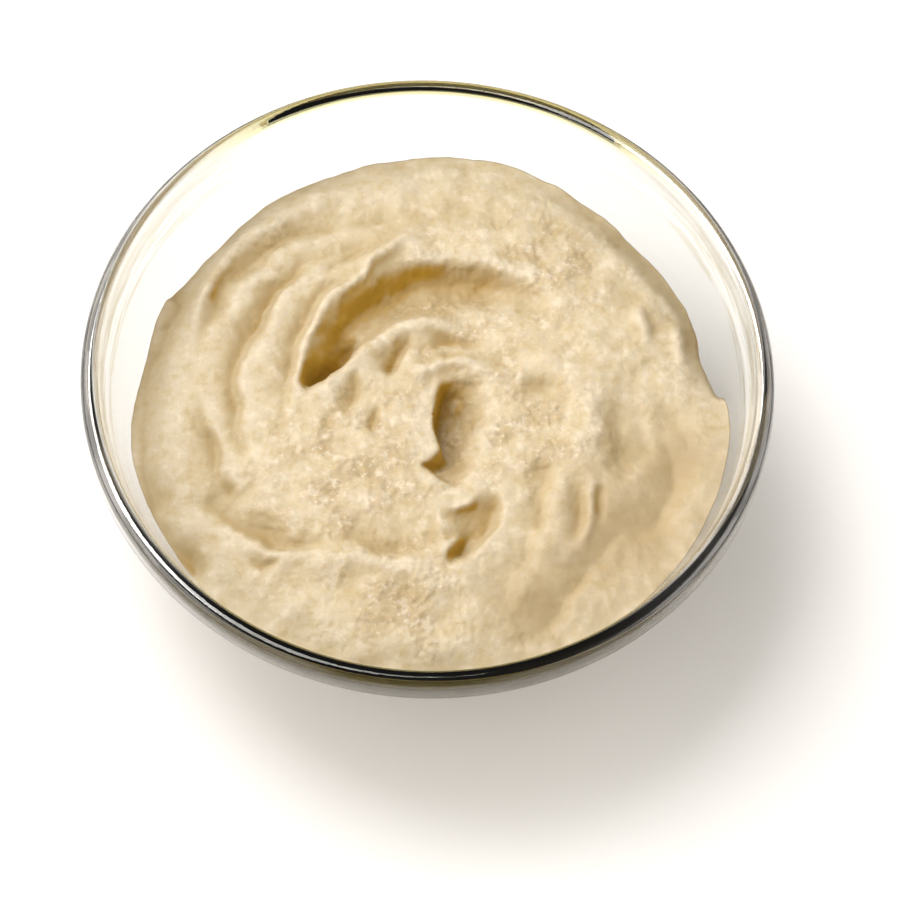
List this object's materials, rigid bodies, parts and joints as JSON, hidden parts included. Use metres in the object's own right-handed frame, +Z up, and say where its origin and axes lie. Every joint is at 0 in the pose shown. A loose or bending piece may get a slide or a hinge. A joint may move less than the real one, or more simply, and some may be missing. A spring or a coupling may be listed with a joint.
{
  "type": "bowl of hummus",
  "caption": "Thick swirled chickpea dip filling a small round clear glass bowl with a rounded rim, ready to serve or dip into.",
  "frame": {"origin": "middle of the underside of the bowl's foot, on the surface it stands on", "axes": "+Z up along the bowl's axis, +Y towards the back, +X to the right as the food is served"},
  "size_m": [0.12, 0.12, 0.048],
  "materials": {
    "bowl_glass": "clear polished",
    "hummus": "moist, satin"
  },
  "bodies": {
    "root": {"bowl": "bowl_glass", "hummus": "hummus"}
  },
  "joints": []
}
